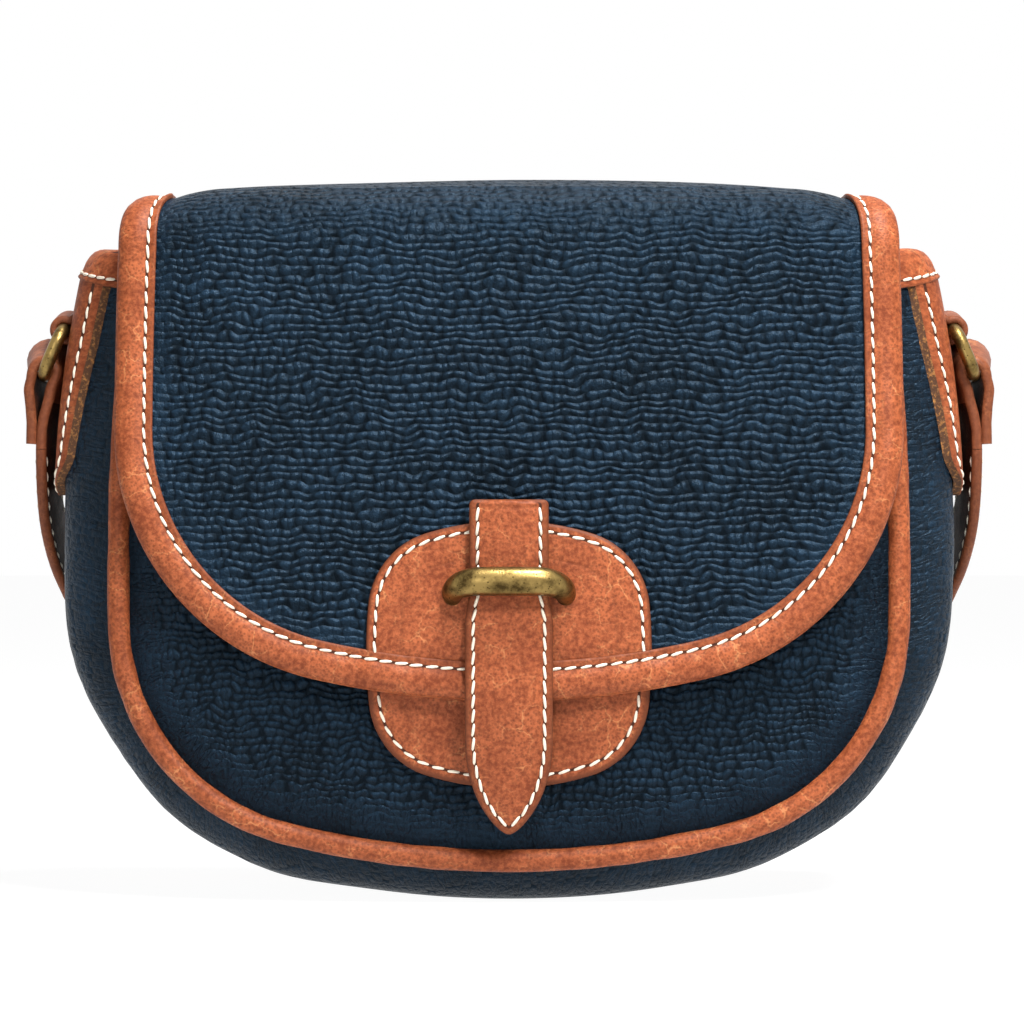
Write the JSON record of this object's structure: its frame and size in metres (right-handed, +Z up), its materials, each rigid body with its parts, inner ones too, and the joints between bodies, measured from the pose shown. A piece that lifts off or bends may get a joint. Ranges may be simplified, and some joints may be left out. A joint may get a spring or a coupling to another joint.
{
  "type": "saddle handbag",
  "caption": "Saddle handbag of pebbled leather with a fold-over flap, a strap-and-snap closure under a brass keeper, bound edges and a shoulder strap on rings.",
  "frame": {"origin": "under the middle of the base, on the flat it stands on", "axes": "+Z up, the front faces -Y, +X to the right seen from the front"},
  "size_m": [0.2632, 0.1267, 0.192],
  "materials": {
    "navy_leather": "pebbled",
    "tan_leather": "smooth waxed",
    "brown_leather": "smooth waxed",
    "antique_brass": "antique"
  },
  "bodies": {
    "bag": {"front_panel": "navy_leather", "back_panel": "navy_leather", "gusset": "navy_leather", "front_piping": "tan_leather", "back_piping": "tan_leather", "gusset_binding_left": "tan_leather", "gusset_binding_right": "tan_leather", "mouth_binding": "tan_leather", "body_patch": "tan_leather", "snap_socket": "antique_brass", "snap_plate": "antique_brass", "flap_rear": "navy_leather", "flap_binding_rear_left": "tan_leather", "flap_binding_rear_right": "tan_leather", "anchor_left": "tan_leather", "anchor_right": "tan_leather", "ring_loop_left": "brown_leather", "ring_loop_right": "brown_leather", "shoulder_strap": "brown_leather"},
    "flap_crown": {"flap_top": "navy_leather", "flap_binding_top_left": "tan_leather", "flap_binding_top_right": "tan_leather"},
    "flap_fall": {"flap_front": "navy_leather", "flap_binding_front": "tan_leather", "flap_patch": "tan_leather", "closing_strap": "tan_leather", "staple": "antique_brass", "staple_plate": "antique_brass"},
    "tab": {"closing_tab": "tan_leather", "snap_stud": "antique_brass"},
    "left_ring": {"ring_left": "antique_brass", "strap_end_left": "brown_leather"},
    "right_ring": {"ring_right": "antique_brass", "strap_end_right": "brown_leather"}
  },
  "joints": [
    {"name": "flap_hinge", "type": "hinge", "parent": "bag", "child": "flap_crown", "pos_m": [0, 0.03245, 0.1879], "axis": [-1, 0, 0], "range_deg": [0, 150]},
    {"name": "flap_fold", "type": "hinge", "parent": "flap_crown", "child": "flap_fall", "pos_m": [0, -0.03637, 0.18653], "axis": [-1, 0, 0], "range_deg": [0, 75]},
    {"name": "tab_lift", "type": "hinge", "parent": "flap_fall", "child": "tab", "pos_m": [0, -0.05273, 0.07959], "axis": [-1, 0, 0], "range_deg": [0, 70]},
    {"name": "ring_left_swing", "type": "hinge", "parent": "bag", "child": "left_ring", "pos_m": [-0.1197, 0, 0.152], "axis": [0, 1, 0], "range_deg": [0, 75], "deforming": ["shoulder_strap"]},
    {"name": "ring_right_swing", "type": "hinge", "parent": "bag", "child": "right_ring", "pos_m": [0.1197, 0, 0.152], "axis": [0, -1, 0], "range_deg": [0, 75], "deforming": ["shoulder_strap"]}
  ]
}
